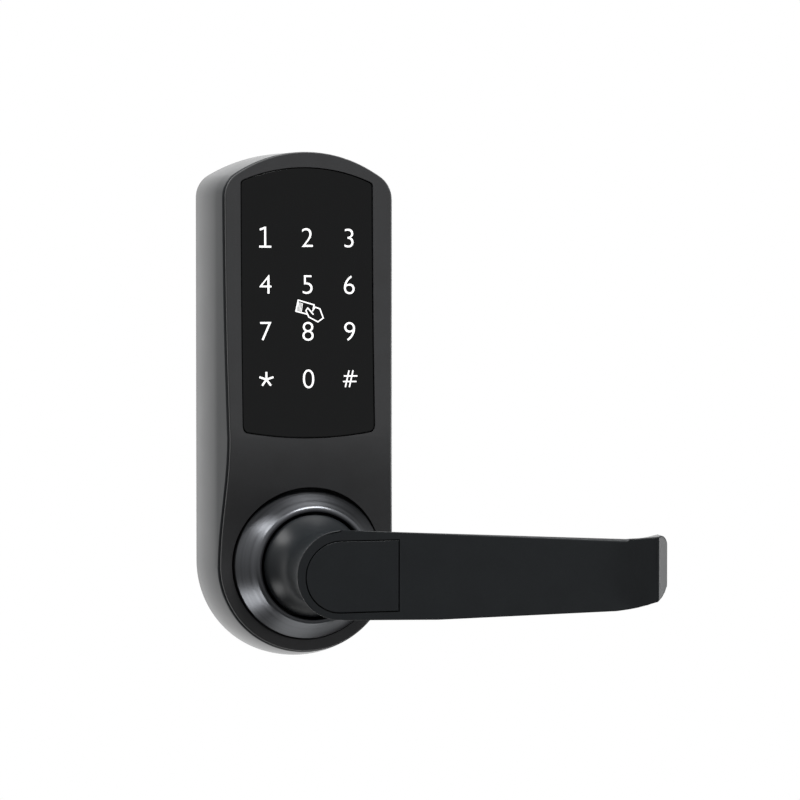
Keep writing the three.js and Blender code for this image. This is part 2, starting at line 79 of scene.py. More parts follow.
FACE_TOP = 28.6  # depth of the front face at the top, at its fullest, and around the lever
FACE_BELLY = 31.9
FACE_LOWER = 25.2
BELLY_Z = 46  # where the face is fullest, and where it has come down to its lower level
LOWER_Z = -2
SWELL_POWER = 2.2
SWELL_ROWS, TOP_ROWS = 32, 26
FORM_MARGIN = 4
FORM_BACK = -5

HOUSING_BACK = 1.0
WALL = 2.6
WALL_RINGS = (5, 9, 13, 17, 20)
LAST_RING = 22.5  # the walls run straight from here to in front of the face
IN_FRONT = 34
DECK = (19, 21.5)  # depths of the housing's inner wall, which carries the lever's bushing
HUB_OPENING = 14.2
SKIN = 2.6
RIM_DROP = 1.7
RIM_ROUND, RIM_SPACING = 0.7, 1.2
FLANGE = 0.9
FLANGE_ROUND = 0.35
FIT = 0.3

GLASS_TOP, GLASS_CORNER = 142.6, 137.3
GLASS_BOTTOM, GLASS_LOW_CORNER = 45.7, 48.0
GLASS_TOP_ROUND, GLASS_LOW_ROUND = 1.0, 2.4  # rounding of the outline's corners
GLASS_SINK = 0.25
GLASS_THICK = 2.0
GLASS_EDGE = 0.3
KEYPAD_X = (GLASS_LOW.x + GLASS_HIGH.x) / 2
LEDGE_GROW = 2.2
LEDGE_DROP = 3.0
LEDGE_THICK = 1.4
WINDOW_HALF = 20.8

HUB_R = 15.5
LEVER_FRONT = -PLATE_LOW.y
PLATE_THICK = 2.2
INSERT_R = 12.55
INSERT_Z = -0.6
INSERT_GAP = 0.35
SLEEVE_BORE = {"radius": 10.3, "front": 46.3}
BARREL_BORE = {"radius": 8.6, "back": 46}


# ---------------------------------------------------------------- modelling helpers
def begin(name, add, **settings):
    """A new primitive, open in edit mode and selected all over."""
    bpy.ops.object.select_all(action="DESELECT")
    add(**settings)
    piece = bpy.context.object
    piece.name = piece.data.name = name
    bpy.ops.object.transform_apply(location=True, rotation=True, scale=True)
    bpy.ops.object.mode_set(mode="EDIT")
    bpy.ops.mesh.select_mode(type="VERT")
    bpy.ops.mesh.select_all(action="SELECT")
    return piece


def end(piece):
    """Leaves edit mode with the faces pointing outwards."""
    bpy.ops.mesh.select_all(action="SELECT")
    bpy.ops.mesh.normals_make_consistent(inside=False)
    if bmesh.from_edit_mesh(piece.data).calc_volume(signed=True) < 0:
        bpy.ops.mesh.flip_normals()
    bpy.ops.mesh.select_all(action="DESELECT")
    bpy.ops.object.mode_set(mode="OBJECT")
    return piece


def reopen(piece):
    """Back to edit mode, with nothing selected."""
    bpy.ops.object.select_all(action="DESELECT")
    bpy.context.view_layer.objects.active = piece
    piece.select_set(True)
    bpy.ops.object.mode_set(mode="EDIT")
    bpy.ops.mesh.select_all(action="DESELECT")


def select(piece, rule):
    """Selects the vertices whose place passes the rule, and the edges and faces between them."""
    bpy.ops.mesh.select_mode(type="VERT")
    bpy.ops.mesh.select_all(action="DESELECT")
    shape = bmesh.from_edit_mesh(piece.data)
    for vertex in shape.verts:
        vertex.select_set(bool(rule(vertex.co)))
    shape.select_flush(True)
    bmesh.update_edit_mesh(piece.data)


def select_edges(piece, rule, sharper_than):
    """Selects the edges sharper than that many degrees whose ends both pass the rule."""
    bpy.ops.mesh.select_mode(type="EDGE")
    bpy.ops.mesh.select_all(action="DESELECT")
    shape = bmesh.from_edit_mesh(piece.data)
    limit = math.radians(sharper_than)
    for edge in shape.edges:
        sharp = len(edge.link_faces) == 2 and edge.calc_face_angle(0) > limit
        if sharp and all(rule(vertex.co) for vertex in edge.verts):
            edge.select_set(True)
    bmesh.update_edit_mesh(piece.data)


def round_edges(piece, width, rule=lambda co: True, sharper_than=50, segments=3):
    """Rounds the piece's sharp edges that pass the rule."""
    reopen(piece)
    select_edges(piece, rule, sharper_than)
    bpy.ops.mesh.bevel(
        offset=width, segments=segments, affect="EDGES", clamp_overlap=False, loop_slide=False
    )
    return end(piece)


def combine(piece, operation, tool):
    """Applies a boolean with another piece, which is used up."""
    modifier = piece.modifiers.new(operation.title(), "BOOLEAN")
    modifier.operation = operation
    modifier.solver = "EXACT"
    modifier.object = tool
    bpy.context.view_layer.objects.active = piece
    bpy.ops.object.modifier_apply(modifier=modifier.name)
    bpy.data.objects.remove(tool)
    return piece


def merge_close(piece, distance=0.02):
    """Merges the vertices that a boolean left almost together."""
    reopen(piece)
    bpy.ops.mesh.select_all(action="SELECT")
    bpy.ops.mesh.remove_doubles(threshold=distance)
    bpy.ops.mesh.dissolve_degenerate(threshold=distance)
    return end(piece)


def finish(piece, body, slot, *nodes, smooth=35):
    """Smooths the piece's shading, brings it to metres, dresses it and ties it to the frame."""
    bpy.ops.object.select_all(action="DESELECT")
    bpy.context.view_layer.objects.active = piece
    piece.select_set(True)
    piece.scale = (M_PER_MM,) * 3
    bpy.ops.object.transform_apply(location=True, rotation=True, scale=True)
    bpy.ops.object.shade_smooth_by_angle(angle=math.radians(smooth))
    weighted = piece.modifiers.new("Weighted normals", "WEIGHTED_NORMAL")
    weighted.keep_sharp = True
    bpy.ops.object.modifier_apply(modifier=weighted.name)
    piece.data.materials.clear()
    piece.data.materials.append(FINISHES[slot])
    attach(piece, body)
    if nodes:
        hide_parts(*nodes)
    return piece


def pen(name, start, path, depth=0.0):
    """A closed flat outline at that depth.

    A step of the path is an end (x, z), or an arc (centre x, centre z, degrees, steps).
    """
    x, z = start
    piece = begin(
        name, bpy.ops.mesh.primitive_circle_add, vertices=3, radius=0.1, location=(x, -depth, z)
    )
    bpy.ops.mesh.merge(type="CENTER")
    for step in path:
        if len(step) == 2:
            move = (step[0] - x, 0, step[1] - z)
            bpy.ops.mesh.extrude_vertices_move(TRANSFORM_OT_translate={"value": move})
            x, z = step
            continue
        centre_x, centre_z, degrees, steps = step
        turn = math.radians(degrees)
        bpy.ops.mesh.spin(
            steps=steps, angle=turn, center=(centre_x, -depth, centre_z), axis=(0, 1, 0)
        )
        dx, dz = x - centre_x, z - centre_z
        x = centre_x + dx * math.cos(turn) - dz * math.sin(turn)
        z = centre_z + dx * math.sin(turn) + dz * math.cos(turn)
    bpy.ops.mesh.select_all(action="SELECT")
    bpy.ops.mesh.remove_doubles(threshold=0.01)
    bpy.ops.mesh.edge_face_add()
    return piece


def pull(depth_change):
    """Extrudes what is selected towards the front by that much."""
    bpy.ops.mesh.extrude_region_move(TRANSFORM_OT_translate={"value": (0, -depth_change, 0)})


def turned(name, profile, segments=96, solid=False):
    """A profile of (radius, depth) turned about the Y axis: a ring, or a solid capped at its ends."""
    radius, depth = profile[0]
    piece = begin(
        name,
        bpy.ops.mesh.primitive_circle_add,
        vertices=segments,
        radius=radius,
        location=(0, -depth, 0),
        rotation=(math.pi / 2, 0, 0),
    )
    if solid:
        bpy.ops.mesh.edge_face_add()
    for next_radius, next_depth in profile[1:]:
        if solid:
            pull(next_depth - depth)
        else:
            move = (0, depth - next_depth, 0)
            bpy.ops.mesh.extrude_edges_move(TRANSFORM_OT_translate={"value": move})
        ratio = next_radius / radius
        bpy.ops.transform.resize(value=(ratio, 1, ratio), center_override=(0, -next_depth, 0))
        radius, depth = next_radius, next_depth
    if not solid:
        bpy.ops.mesh.select_all(action="DESELECT")
        bpy.ops.mesh.select_mode(type="EDGE")
        bpy.ops.mesh.select_non_manifold(extend=False)
        bpy.ops.mesh.bridge_edge_loops()
    return end(piece)


def rod(name, radius, back, front, segments=64):
    return turned(name, [(radius, back), (radius, front)], segments=segments, solid=True)


# ---------------------------------------------------------------- the escutcheon's form
def side_draft(depth):
    """How far a side wall has come in at that depth: it leans more and more towards the front."""
    return SIDE_DRAFT * depth + SIDE_SWELL * depth**2


def drafted(name, inset, depths):
    """The escutcheon's outline, inset, as a solid that narrows from depth to depth towards the front."""
    half = HALF_WIDTH - inset
    arc_r = TOP_ARC_R - inset
    centre_z = TOP_Z - TOP_ARC_R
    corner_r = CORNER_R - inset
    corner_x = half - corner_r
    corner_z = centre_z + math.sqrt((arc_r - corner_r) ** 2 - corner_x**2)
    lean = math.degrees(math.atan2(corner_z - centre_z, corner_x))
    piece = pen(
        name,
        (half, 0),
        [
            (half, corner_z),
            (corner_x, corner_z, lean, 10),
            (0, centre_z, 180 - 2 * lean, 36),
            (-corner_x, corner_z, lean, 10),
            (-half, 0),
            (0, 0, 180, 72),
        ],
    )
    scale = {"side": 1.0, "top": 1.0}
    reached = 0
    for number, depth in enumerate(depths):
        if number:
            pull(depth - reached)
        else:
            bpy.ops.transform.translate(value=(0, -depth, 0))
        reached = depth
        side = 1 - side_draft(depth) / half
        top = 1 - TOP_DRAFT * depth / (TOP_Z - inset)
        level = -depth
        select(piece, lambda co: abs(co.y - level) < 0.01 and co.z > 0)
        bpy.ops.transform.resize(
            value=(side / scale["side"], 1, top / scale["top"]), center_override=(0, level, 0)
        )
        select(piece, lambda co: abs(co.y - level) < 0.01 and co.z <= 0)
        bpy.ops.transform.resize(value=(side / scale["side"],) * 3, center_override=(0, level, 0))
        select(piece, lambda co: abs(co.y - level) < 0.01)
        scale = {"side": side, "top": top}
    return end(piece)


def face_depth(z):
    """Depth of the front face at that height.

    It is level round the lever, swells in an S up to the belly, and then falls slowly to the top.
    """
    if z <= LOWER_Z:
        return FACE_LOWER
    if z >= BELLY_Z:
        fall = max(0.0, (TOP_Z - z) / (TOP_Z - BELLY_Z))
        return FACE_TOP + (FACE_BELLY - FACE_TOP) * fall**SWELL_POWER
    rise = (z - LOWER_Z) / (BELLY_Z - LOWER_Z)
    return FACE_LOWER + (FACE_BELLY - FACE_LOWER) * (1 - math.cos(math.pi * rise)) / 2


def face_slope(z):
    return face_depth(z + 0.5) - face_depth(z - 0.5)


def front_form():
    """All that lies behind the front face, wider than the lock: its surface is pulled up row by row."""
    half, back = HALF_WIDTH + FORM_MARGIN, FORM_BACK
    rows = [LOWER_Z + (BELLY_Z - LOWER_Z) * i / SWELL_ROWS for i in range(SWELL_ROWS + 1)]
    rows += [BELLY_Z + (TOP_Z - BELLY_Z) * i / TOP_ROWS for i in range(1, TOP_ROWS + 1)]
    rows.append(TOP_Z + FORM_MARGIN)
    z = -HALF_WIDTH - FORM_MARGIN
    depth = face_depth(z)
    piece = begin("front_form", bpy.ops.mesh.primitive_plane_add, size=1, location=(0, 0, z))
    bpy.ops.transform.resize(value=(2 * half, depth - back, 1), center_override=(0, 0, z))
    bpy.ops.transform.translate(value=(0, -(depth + back) / 2, 0))
    for row in rows:
        bpy.ops.mesh.extrude_region_move(TRANSFORM_OT_translate={"value": (0, 0, row - z)})
        z = row
        select(piece, lambda co: abs(co.z - z) < 0.01 and co.y < 0)
        bpy.ops.transform.translate(value=(0, depth - face_depth(z), 0))
        depth = face_depth(z)
        select(piece, lambda co: abs(co.z - z) < 0.01)
    return end(piece)


FORM = front_form()


def behind_face(offset):
    """A copy of the front form, its surface moved in front of the face by the offset."""
    tool = FORM.copy()
    tool.data = FORM.data.copy()
    bpy.context.collection.objects.link(tool)
    tool.location.y = -offset
    bpy.context.view_layer.update()
    return tool


def layer(piece, deep, shallow):
    """Keeps what lies between two offsets from the front face."""
    combine(piece, "INTERSECT", behind_face(shallow))
    return combine(piece, "DIFFERENCE", behind_face(deep))


# ---------------------------------------------------------------- materials
def linear(hex_colour):
    """An sRGB hex colour as linear RGBA."""
    parts = [int(hex_colour[i : i + 2], 16) / 255 for i in (1, 3, 5)]
    return tuple(c / 12.92 if c <= 0.04045 else ((c + 0.055) / 1.055) ** 2.4 for c in parts) + (1.0,)


def node(tree, kind, inputs=None, **settings):
    """Adds a node with its settings; inputs are values, or output sockets to link."""
    made = tree.nodes.new(kind)
    for key, value in settings.items():
        setattr(made, key, value)
    for key, value in (inputs or {}).items():
        if isinstance(value, bpy.types.NodeSocket):
            tree.links.new(value, made.inputs[key])
        else:
            made.inputs[key].default_value = value
    return made


def ramp(tree, factor, *stops):
    """A colour ramp's output; stops are (position, linear colour)."""
    made = node(tree, "ShaderNodeValToRGB", {"Fac": factor})
    points = made.color_ramp.elements
    while len(points) < len(stops):
        points.new(0.5)
    for point, (position, value) in zip(points, stops):
        point.position = position
        point.color = value
    return made.outputs["Color"]


def new_material(name):
    """An empty node material; returns it with its tree, its shader and the object's coordinates."""
    material = bpy.data.materials.new(name)
    material.use_nodes = True
    tree = material.node_tree
    tree.nodes.clear()
    shader = node(tree, "ShaderNodeBsdfPrincipled")
    node(tree, "ShaderNodeOutputMaterial", {"Surface": shader.outputs["BSDF"]})
    place = node(tree, "ShaderNodeTexCoord").outputs["Object"]
    return material, tree, shader, place


def per_mm(size_mm):
    """Noise scale for features of that size."""
    return 1 / (size_mm * M_PER_MM)


def spread_over(tree, noise, low, high):
    """Maps a noise's usual range, 0.3 to 0.7, to another."""
    inputs = {"Value": noise, "From Min": 0.3, "From Max": 0.7, "To Min": low, "To Max": high}
    return node(tree, "ShaderNodeMapRange", inputs).outputs["Result"]


BROAD_GRAIN = 30  # how many times the fine grain's size the broad one is


def speckled(name, colour, light, metallic, roughness, spread, grain_mm, bump_mm, **sockets):
    """A finish whose colour, roughness and surface vary with one fine grain and one broad one."""
    material, tree, shader, place = new_material(name)
    fine = node(
        tree, "ShaderNodeTexNoise", {"Vector": place, "Scale": per_mm(grain_mm), "Detail": 3.0}
    ).outputs["Fac"]
    broad = node(
        tree,
        "ShaderNodeTexNoise",
        {"Vector": place, "Scale": per_mm(grain_mm * BROAD_GRAIN), "Detail": 2.0},
    ).outputs["Fac"]
    mixed = node(
        tree, "ShaderNodeMix", {"Factor": 0.35, "A": fine, "B": broad}, data_type="FLOAT"
    ).outputs["Result"]
    shades = ramp(tree, mixed, (0.3, linear(colour)), (0.75, linear(light)))
    tree.links.new(shades, shader.inputs["Base Color"])
    gloss = spread_over(tree, mixed, roughness - spread, roughness + spread)
    tree.links.new(gloss, shader.inputs["Roughness"])
    bump = node(
        tree, "ShaderNodeBump", {"Height": fine, "Strength": 0.25, "Distance": bump_mm * M_PER_MM}
    )
    tree.links.new(bump.outputs["Normal"], shader.inputs["Normal"])
    shader.inputs["Metallic"].default_value = metallic
    for key, value in sockets.items():
        shader.inputs[key.replace("_", " ")].default_value = value
    return material


def turned_metal(name, colour, light, roughness, groove_mm):
    """Lathe-turned metal: faint rings about the Y axis break up the reflection."""
    material, tree, shader, place = new_material(name)
    parts = node(tree, "ShaderNodeSeparateXYZ", {"Vector": place})
    flat = node(tree, "ShaderNodeCombineXYZ", {"X": parts.outputs["X"], "Y": parts.outputs["Z"]})
    radius = node(tree, "ShaderNodeVectorMath", {0: flat.outputs["Vector"]}, operation="LENGTH")
    along = node(
        tree,
        "ShaderNodeMath",
        {0: radius.outputs["Value"], 1: parts.outputs["Y"]},
        operation="SUBTRACT",
    )
    rings = node(
        tree,
        "ShaderNodeTexNoise",
        {"W": along.outputs["Value"], "Scale": per_mm(groove_mm), "Detail": 2.0},
        noise_dimensions="1D",
    ).outputs["Fac"]
    shades = ramp(tree, rings, (0.3, linear(colour)), (0.7, linear(light)))
    tree.links.new(shades, shader.inputs["Base Color"])
    gloss = spread_over(tree, rings, roughness * 0.85, roughness * 1.15)
    tree.links.new(gloss, shader.inputs["Roughness"])
    bump = node(
        tree, "ShaderNodeBump", {"Height": rings, "Strength": 0.06, "Distance": 0.02 * M_PER_MM}
    )
    tree.links.new(bump.outputs["Normal"], shader.inputs["Normal"])
    shader.inputs["Metallic"].default_value = 1.0
    return material


FINISHES = {
    # die-cast zinc under a satin black coat: near black, slightly cool, very fine orange peel
    "black_zinc": speckled(
        "black_coated_zinc", "#202326", "#262a2d", 0.0, 0.36, 0.03, 0.35, 0.012, IOR=1.5
    ),
    # powder-coated cover: matter and greyer, its grain just fine enough to soften the reflections
    "cover_paint": speckled(
        "powder_coated_zinc", "#404041", "#47484a", 0.0, 0.46, 0.03, 0.3, 0.02, IOR=1.5
    ),
    # black-chrome plating over a turned collar: a dark, softened metal shine with faint lathe rings
    "dark_chrome": turned_metal("black_chrome", "#74767a", "#7f8185", 0.34, 0.5),
    # toughened glass printed black on its back: a deep even black under a sharp, weak reflection
    "glass_black": speckled(
        "back_printed_glass", "#0e0f10", "#101112", 0.0, 0.09, 0.01, 4.0, 0.0, IOR=1.5
    ),
    # moulded rubber: dull and nearly black
    "rubber": speckled("moulded_rubber", "#101011", "#171718", 0.0, 0.8, 0.05, 0.5, 0.03),
    # machined or pressed steel: a clean light grey shine
    "steel": speckled("bright_steel", "#9a9c9e", "#b6b8ba", 1.0, 0.3, 0.06, 0.4, 0.01),
    # passivated zinc plating: a greyer, cloudier metal
    "zinc_plate": speckled("zinc_plated_steel", "#8b8e90", "#a9adb0", 1.0, 0.42, 0.08, 1.2, 0.01),
    # machined brass: warm yellow, with fine tool rings
    "brass": turned_metal("turned_brass", "#a5874a", "#b99a58", 0.28, 0.4),
    # solder mask over fibreglass board: an even, slightly glossy green
    "board_green": speckled("solder_mask", "#17452c", "#1f5a38", 0.0, 0.35, 0.05, 0.6, 0.02),
    # opal acrylic, lit from behind: an even white that glows faintly in the keypad's signs
    "diffuser": speckled(
        "opal_acrylic", "#f2f3f3", "#fbfbfb", 0.0, 0.5, 0.03, 0.3, 0.005,
        Emission_Color=(1, 1, 1, 1), Emission_Strength=0.8,
    ),
    # etched copper: reddish, a little dulled by air
    "copper": speckled("etched_copper", "#a8623a", "#bd7446", 1.0, 0.35, 0.05, 0.5, 0.01),
    # natural nylon: warm off-white and slightly waxy
    "nylon": speckled("natural_nylon", "#cbc6b8", "#d8d4c6", 0.0, 0.5, 0.05, 0.8, 0.02),
    # moulded ABS with a fine spark-eroded texture: an even, soft black
    "black_plastic": speckled("moulded_abs", "#18191a", "#202122", 0.0, 0.5, 0.04, 0.25, 0.03),
}


# ---------------------------------------------------------------- housing, seal and cover
def rear_housing():
    """The case: leaning walls round a room that the deck divides, open in front for the cover."""
    shell = drafted("housing_shell", 0, (HOUSING_BACK, *WALL_RINGS, LAST_RING, IN_FRONT))
    combine(shell, "INTERSECT", behind_face(-RIM_DROP))
    room = drafted("room", WALL, (HOUSING_BACK - 1, LAST_RING, IN_FRONT + 1))
    combine(room, "DIFFERENCE", slab_between(*DECK))
    combine(shell, "DIFFERENCE", room)
    combine(shell, "DIFFERENCE", rod("hub", HUB_OPENING, DECK[0] - 1, DECK[1] + 1.5, segments=96))
    # the rim's vertices are spaced wider than its rounding, so that the rounding comes out even
    reopen(shell)
    select(shell, lambda co: co.y < -LAST_RING - 0.5)
    bpy.ops.mesh.remove_doubles(threshold=RIM_SPACING)
    end(shell)
    merge_close(shell)
    round_edges(shell, RIM_ROUND, lambda co: co.y < -LAST_RING - 0.7, segments=4)
    return finish(shell, "escutcheon", "black_zinc", "rear_housing")


def slab_between(back, front):
    """A slab wider than the lock, between two depths."""
    piece = begin(
        "slab",
        bpy.ops.mesh.primitive_plane_add,
        size=2 * (TOP_Z + HALF_WIDTH),
        location=(0, -back, 0),
        rotation=(math.pi / 2, 0, 0),
    )
    pull(front - back)
    return end(piece)


def cover_seal():
    """The black rubber strip between the housing's rim and the cover's flange; its black also serves as
    painted shade in the seam's gap.
    """
    strip = drafted("cover_gasket_and_seam_shade", 1.1, (LAST_RING, IN_FRONT))
    inner = drafted("seal_inner", WALL - 0.1, (LAST_RING - 1, IN_FRONT + 1))
    combine(strip, "DIFFERENCE", inner)
    layer(strip, -1.6, -1)
    # a real rubber seal, whose black also stands in as painted shade for the shadow in the seam between
    # housing and cover
    return finish(strip, "escutcheon", "rubber", "cover_seal")


def glass_block(name, grow, half_width=None):
    """The keypad glass's outline as a tall block, grown all round."""
    half_glass = (GLASS_HIGH.x - GLASS_LOW.x) / 2
    shrink = half_glass - (half_width or half_glass)
    half = half_glass - shrink + grow
    top = GLASS_TOP - shrink + grow
    corner = GLASS_CORNER - shrink + grow
    bottom = GLASS_BOTTOM + shrink - grow
    low_corner = GLASS_LOW_CORNER + shrink - grow
    top_r = (half**2 + (top - corner) ** 2) / (2 * (top - corner))
    low_r = (half**2 + (low_corner - bottom) ** 2) / (2 * (low_corner - bottom))
    top_turn = 2 * math.degrees(math.asin(half / top_r))
    low_turn = 2 * math.degrees(math.asin(half / low_r))
    piece = pen(
        name,
        (half, low_corner),
        [
            (half, corner),
            (0, top - top_r, top_turn, 32),
            (-half, low_corner),
            (0, bottom + low_r, low_turn, 32),
        ],
        depth=15,
    )
    select(piece, lambda co: abs(co.z - corner) < 0.01 and abs(co.x) > half - 0.01)
    bpy.ops.mesh.bevel(offset=GLASS_TOP_ROUND, segments=4, affect="VERTICES")
    select(piece, lambda co: abs(co.z - low_corner) < 0.01 and abs(co.x) > half - 0.01)
    bpy.ops.mesh.bevel(offset=GLASS_LOW_ROUND, segments=6, affect="VERTICES")
    bpy.ops.mesh.select_all(action="SELECT")
    bpy.ops.transform.translate(value=(KEYPAD_X, 0, 0))
    pull(25)
    return end(piece)


def front_cover():
    """The plate with its flange, the skin behind it, the keypad's ledge and the lever's hole."""
    cover = layer(drafted("cover_plate", 0.1, (LAST_RING, IN_FRONT)), -FLANGE, 0)
    merge_close(cover, 0.3)
    round_edges(cover, FLANGE_ROUND)
    skin = layer(drafted("skin", WALL + FIT, (18, LAST_RING, IN_FRONT)), -SKIN, -FLANGE / 2)
    ledge = layer(glass_block("ledge", LEDGE_GROW), -LEDGE_DROP - LEDGE_THICK, -FLANGE * 0.75)
    combine(skin, "UNION", ledge)
    combine(cover, "UNION", skin)
    recess = combine(glass_block("recess", FIT), "DIFFERENCE", behind_face(-LEDGE_DROP))
    combine(cover, "DIFFERENCE", recess)
    combine(cover, "DIFFERENCE", glass_block("window", 0, WINDOW_HALF))
    combine(cover, "DIFFERENCE", rod("hub_hole", COLLAR_HIGH.x, 15, 40, segments=128))
    return finish(cover, "escutcheon", "cover_paint", "front_cover")


# ---------------------------------------------------------------- keypad
def keypad_glass():
    """The keypad's glass, following the face a little below it."""
    glass = layer(glass_block("keypad_lens", 0), -GLASS_SINK - GLASS_THICK, -GLASS_SINK)
    merge_close(glass)
    round_edges(glass, GLASS_EDGE)
    return finish(glass, "escutcheon", "glass_black", "keypad_glass")


KEY_ROWS = ("123", "456", "789", "*0#")
KEY_PITCH = 15.5
ROW_HEIGHTS = (117.6, 100.7, 83.9, 66.8)
DIGIT_HEIGHT = 7.2
CAPITAL = 0.72  # height of a capital, as a share of the font's size
THINNED = -0.12  # offset that makes the font's strokes finer
INK = 0.06  # thickness of a legend, half of it above the glass
STROKE = 0.7
FINE_STROKE = 0.5
STAR_ARM = 2.5
HASH = [
    ((-0.4, -2.9), (1.0, 2.9)),
    ((-1.9, -2.9), (-0.5, 2.9)),
    ((-2.3, 1.0), (2.5, 1.0)),
    ((-2.6, -1.0), (2.1, -1.0)),
]
FOOTED_ONE = [((-1.7, -3.3), (2.3, -3.3)), ((0.3, -3.3), (0.3, 3.6)), ((0.3, 3.5), (-1.5, 2.8))]
CARD = [(-0.7, -1.2), (-5.1, -0.1), (-4.2, 3.9), (1.7, 2.2), (1.3, 0.9)]
HAND = [
    (1.3, -1.2), (-0.7, 1.1), (-1.4, 0.1), (-0.3, -2.2), (3.0, -3.9),
    (5.0, -2.5), (3.8, 0.8), (2.0, 1.4), (1.0, 0.0),
]
STRIPES = [
    ((-4.4 + 0.45 * i, 3.2 - 0.13 * i), (-4.9 + 0.45 * i, 0.3 - 0.13 * i)) for i in range(1, 5)
]
SIGN_STROKE = 0.45
STRIPE_STROKE = 0.24
SIGN_X, SIGN_Z = KEYPAD_X + 0.7, 91.2


def lay_on_glass(x, z):
    """Turns what is selected from upright at the origin to lie on the glass with its middle at x and z."""
    tilt = math.atan(face_slope(z))
    bpy.ops.transform.rotate(value=-tilt, orient_axis="X", center_override=(0, 0, 0))
    bpy.ops.transform.translate(value=(x, -(face_depth(z) - GLASS_SINK), z))


def bar(name, ends, width):
    """A flat straight stroke, upright at the origin, from one (x, z) to another."""
    (x0, z0), (x1, z1) = ends
    length = math.hypot(x1 - x0, z1 - z0) + width * 0.6
    angle = math.atan2(z1 - z0, x1 - x0)
    piece = begin(name, bpy.ops.mesh.primitive_cube_add, size=1, scale=(length, INK, width))
    bpy.ops.object.mode_set(mode="OBJECT")
    piece.rotation_euler.y = -angle
    piece.location = ((x0 + x1) / 2, 0, (z0 + z1) / 2)
    bpy.ops.object.transform_apply(location=True, rotation=True, scale=False)
    return piece


def strokes(name, lines, width):
    """Straight strokes joined into one flat piece."""
    parts = [bar(name, line, width) for line in lines]
    for part in parts[1:]:
        combine(parts[0], "UNION", part)
    return parts[0]


def drawn_legend(legend):
    """The star, the hash and the footed one, from straight strokes; None for the others."""
    if legend == "*":
        ends = [math.radians(90 + 72 * i) for i in range(5)]
        arms = [((0, 0), (STAR_ARM * math.cos(a), STAR_ARM * math.sin(a))) for a in ends]
        return strokes("legend_star", arms, STROKE)
    if legend == "#":
        return strokes("legend_hash", HASH, FINE_STROKE)
    if legend == "1":
        return strokes("numeral_1", FOOTED_ONE, STROKE)
    return None


def written_legend(legend):
    """A digit from the built-in font, made a mesh."""
    bpy.ops.object.select_all(action="DESELECT")
    bpy.ops.object.text_add(rotation=(math.pi / 2, 0, 0))
    text = bpy.context.object
    text.data.body = legend
    text.data.size = DIGIT_HEIGHT / CAPITAL
    text.data.extrude = INK / 2
    text.data.offset = THINNED
    text.data.align_x = "CENTER"
    text.data.align_y = "CENTER"
    text.data.resolution_u = 8
    bpy.ops.object.convert(target="MESH")
    piece = bpy.context.object
    piece.name = piece.data.name = f"numeral_{legend}"
    bpy.ops.object.transform_apply(location=True, rotation=True, scale=True)
    return piece


def numeral(legend, column, row):
    """One key's legend, centred on its place in the grid."""
    piece = drawn_legend(legend) or written_legend(legend)
    reopen(piece)
    bpy.ops.mesh.select_all(action="SELECT")
    bpy.ops.mesh.remove_doubles(threshold=0.001)
    low = Vector([min(v.co[i] for v in piece.data.vertices) for i in range(3)])
    high = Vector([max(v.co[i] for v in piece.data.vertices) for i in range(3)])
    bpy.ops.transform.translate(value=(-(low.x + high.x) / 2, 0, -(low.z + high.z) / 2))
    lay_on_glass((column - 1) * KEY_PITCH + KEYPAD_X, ROW_HEIGHTS[row])
    end(piece)
    return finish(piece, "escutcheon", "diffuser", smooth=20)


def card_and_hand():
    """The card-reader sign: a striped card held by a hand, in thin outline."""
    lines = list(zip(CARD, CARD[1:])) + list(zip(HAND, HAND[1:]))
    for name, drawn, width in (
        ("reader_sign", lines, SIGN_STROKE),
        ("reader_sign_stripes", STRIPES, STRIPE_STROKE),
    ):
        piece = strokes(name, drawn, width)
        reopen(piece)
        bpy.ops.mesh.select_all(action="SELECT")
        lay_on_glass(SIGN_X, SIGN_Z)
        end(piece)
        finish(piece, "escutcheon", "diffuser", smooth=20)


# ---------------------------------------------------------------- collar
CONE = {"inset": 0.7, "shoulder": 27.2, "lip": 21.2, "chamfer": (0.7, 0.5), "bore": 19.3}


def collar():
    """The ring round the neck: a short upright foot, a cone up to the lip, and a chamfer."""
    base, lip, bore = COLLAR_HIGH.x - CONE["inset"], CONE["lip"], CONE["bore"]
    back, top = -COLLAR_HIGH.y, -COLLAR_LOW.y
    across, along = CONE["chamfer"]
    profile = [
        (bore, back),
        (base, back),
        (base, CONE["shoulder"]),
        (lip, top - along),
        (lip - across, top),
        (bore, top),
    ]
    ring = turned("cone_collar", profile, segments=160)
    round_edges(ring, 0.35, lambda co: co.y < -back - 1, sharper_than=20, segments=4)
    return finish(ring, "escutcheon", "dark_chrome", "rosette_collar", smooth=25)


# ---------------------------------------------------------------- lever
NECK = {"base": 29, "base_r": 18.3, "shoulder": 36, "waist": 50, "waist_r": 12.6}
NECK_FRONT = LEVER_FRONT - 0.05  # just short of the grip's front, so that the two don't coincide
NECK_STEPS = 28
GRIP = {"thick": 9.5, "bend": 104.8, "curl_r": 11, "tip_thick": 5.2, "curl": 61, "lean": 0.016}
GRIP_REACH_BACK = 14
TOP_EDGE_FALL = 0.0495  # of the grip's top edge, per millimetre of reach
CURVE_STEPS = 7


def neck():
    """The waisted round neck, from under the collar to the grip's front."""
    profile = [(NECK["base_r"], NECK["base"])]
    for i in range(NECK_STEPS + 1):
        depth = NECK["shoulder"] + (NECK_FRONT - NECK["shoulder"]) * i / NECK_STEPS
        if depth < NECK["waist"]:
            end_depth, wide = NECK["shoulder"], NECK["base_r"]
        else:
            end_depth, wide = LEVER_FRONT, HUB_R
        share = ((depth - NECK["waist"]) / (end_depth - NECK["waist"])) ** 2
        profile.append((NECK["waist_r"] + (wide - NECK["waist_r"]) * share, depth))
    return turned("neck", profile, solid=True)


